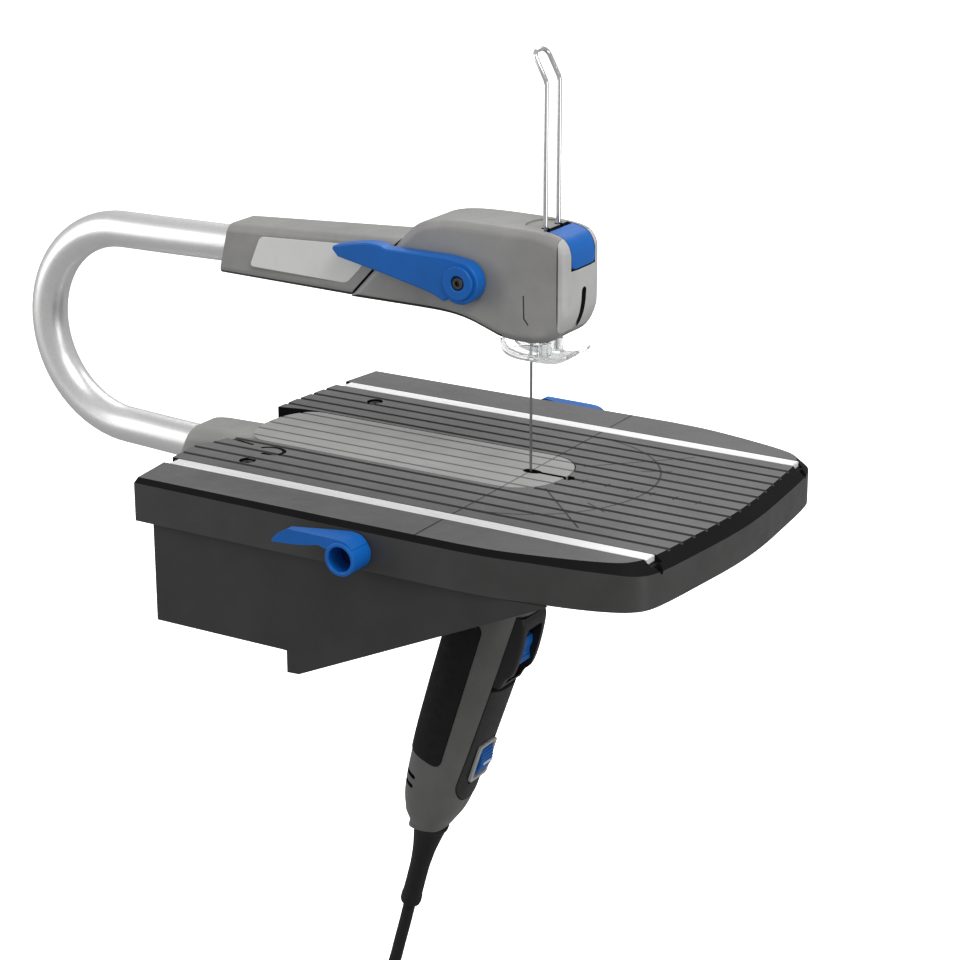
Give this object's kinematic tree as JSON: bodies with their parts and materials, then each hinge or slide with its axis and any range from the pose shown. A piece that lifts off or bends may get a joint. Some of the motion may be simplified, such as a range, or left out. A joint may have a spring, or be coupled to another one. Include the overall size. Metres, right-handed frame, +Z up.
{
  "type": "scroll saw",
  "caption": "Bench scroll saw: a bow saw unit with a pistol handle and hold-down foot, locked into a base with a slotted work table.",
  "frame": {"origin": "on the flat underside of the base's seat, midway between its sides, where it rests on a bench top", "axes": "+X to the front, where the operator stands; +Z up; +Y to the right of an operator who faces the saw from the front, away from the tension lever"},
  "size_m": [0.4466, 0.256, 0.7003],
  "materials": {
    "dark_casting": "satin black moulding",
    "black_plastic": "fine matte texture",
    "aluminium": "satin",
    "grey_plastic": "satin",
    "light_grey_plastic": "satin",
    "pale_label": "smooth",
    "blue_plastic": "satin",
    "black_rubber": "soft matte",
    "steel": "machined",
    "blade_steel": "dark spring steel",
    "chrome": "bright plated",
    "brass": "machined",
    "copper_winding": "varnished copper wire",
    "white_nylon": "smooth",
    "clear_plastic": "clear",
    "green_board": "circuit board"
  },
  "bodies": {
    "saw": {"table_top": "dark_casting", "rail_left": "aluminium", "rail_right": "aluminium", "base_housing": "black_plastic", "table_screw_left": "black_plastic", "table_screw_right": "black_plastic", "bow_tube": "aluminium", "lower_collar": "grey_plastic", "upper_sleeve": "grey_plastic", "label_plate": "pale_label", "lower_arm_cover": "light_grey_plastic", "housing_left": "grey_plastic", "housing_right": "grey_plastic", "grip_left": "black_rubber", "grip_right": "black_rubber", "front_strip": "black_rubber", "switch_guard": "black_plastic", "dial_bezel": "pale_label", "control_board": "green_board", "motor_stator": "steel", "bearing_lower": "steel", "bearing_upper": "steel", "crank_axle": "steel", "plunger_guide": "brass", "head_shell_left": "grey_plastic", "head_shell_right": "grey_plastic", "nose_cap": "light_grey_plastic", "button_spring": "steel", "foot_brake": "white_nylon", "strain_relief": "black_rubber", "cord": "black_rubber", "cord_coil": "black_rubber", "cord_tail": "black_rubber", "cord_tie": "black_rubber", "plug_body": "black_rubber", "plug_pin_left": "steel", "plug_pin_right": "steel"},
    "lock_lever_left": {"lock_lever_left": "blue_plastic"},
    "lock_lever_right": {"lock_lever_right": "blue_plastic"},
    "lock_bolt_left": {"lock_bolt_left": "aluminium"},
    "lock_bolt_right": {"lock_bolt_right": "aluminium"},
    "motor_rotor": {"armature": "copper_winding", "motor_fan": "white_nylon", "pinion": "steel"},
    "crank": {"crank_gear": "white_nylon"},
    "blade_train": {"blade": "blade_steel", "lower_clamp": "blade_steel", "upper_clamp": "blade_steel", "lower_plunger": "steel", "upper_plunger": "steel"},
    "tension_lever": {"tension_lever": "blue_plastic", "lever_screw": "black_plastic", "lever_cam": "white_nylon"},
    "tension_slider": {"tension_slider": "steel", "tension_spring": "steel"},
    "release_button": {"release_button": "blue_plastic"},
    "hold_down": {"hold_down_wire": "chrome", "foot": "clear_plastic"},
    "power_switch": {"power_switch": "blue_plastic"},
    "speed_dial": {"speed_dial": "blue_plastic"}
  },
  "joints": [
    {"name": "lock_lever_left_hinge", "type": "hinge", "parent": "saw", "child": "lock_lever_left", "pos_m": [0.085, 0.11, 0.0625], "axis": [0, -1, 0], "range_deg": [0, 60]},
    {"name": "lock_lever_right_hinge", "type": "hinge", "parent": "saw", "child": "lock_lever_right", "pos_m": [0.085, -0.11, 0.0625], "axis": [0, -1, 0], "range_deg": [0, 60]},
    {"name": "lock_bolt_left_slide", "type": "slide", "parent": "saw", "child": "lock_bolt_left", "axis": [0, 1, 0], "range_m": [0, 0.0052]},
    {"name": "lock_bolt_right_slide", "type": "slide", "parent": "saw", "child": "lock_bolt_right", "axis": [0, -1, 0], "range_m": [0, 0.0052]},
    {"name": "armature_spin", "type": "hinge", "parent": "saw", "child": "motor_rotor", "pos_m": [0.0839, 0, -0.04], "axis": [0.309, 0, 0.9511], "continuous": true},
    {"name": "crank_spin", "type": "hinge", "parent": "saw", "child": "crank", "pos_m": [0.10615, 0, 0.02848], "axis": [0, 1, 0], "continuous": true},
    {"name": "blade_slide", "type": "slide", "parent": "saw", "child": "blade_train", "axis": [0, 0, 1], "range_m": [-0.004, 0.004], "deforming": ["tension_spring"]},
    {"name": "tension_lever_hinge", "type": "hinge", "parent": "saw", "child": "tension_lever", "pos_m": [0.091, 0, 0.1773], "axis": [0, 1, 0], "range_deg": [0, 90]},
    {"name": "tension_slide", "type": "slide", "parent": "saw", "child": "tension_slider", "axis": [0, 0, 1], "range_m": [-0.0056, 0]},
    {"name": "release_button_slide", "type": "slide", "parent": "saw", "child": "release_button", "axis": [-1, 0, 0], "range_m": [0, 0.0028], "stiffness_N_per_m": 400, "springref_m": -0.001},
    {"name": "hold_down_slide", "type": "slide", "parent": "saw", "child": "hold_down", "axis": [0, 0, 1], "range_m": [-0.055, 0]},
    {"name": "power_switch_slide", "type": "slide", "parent": "saw", "child": "power_switch", "axis": [0.309, 0, 0.9511], "range_m": [0, 0.005]},
    {"name": "speed_dial_hinge", "type": "hinge", "parent": "saw", "child": "speed_dial", "pos_m": [0.07731, 0, -0.08875], "axis": [0, 1, 0], "range_deg": [-135, 135]}
  ],
  "couplings": [
    {"joint": "lock_bolt_left_slide", "follows": "lock_lever_left_hinge", "m_per_rad": 0.00477},
    {"joint": "lock_bolt_right_slide", "follows": "lock_lever_right_hinge", "m_per_rad": 0.00477},
    {"joint": "crank_spin", "follows": "armature_spin", "ratio": 0.25},
    {"joint": "tension_slide", "follows": "tension_lever_hinge", "m_per_rad": -0.0035}
  ]
}
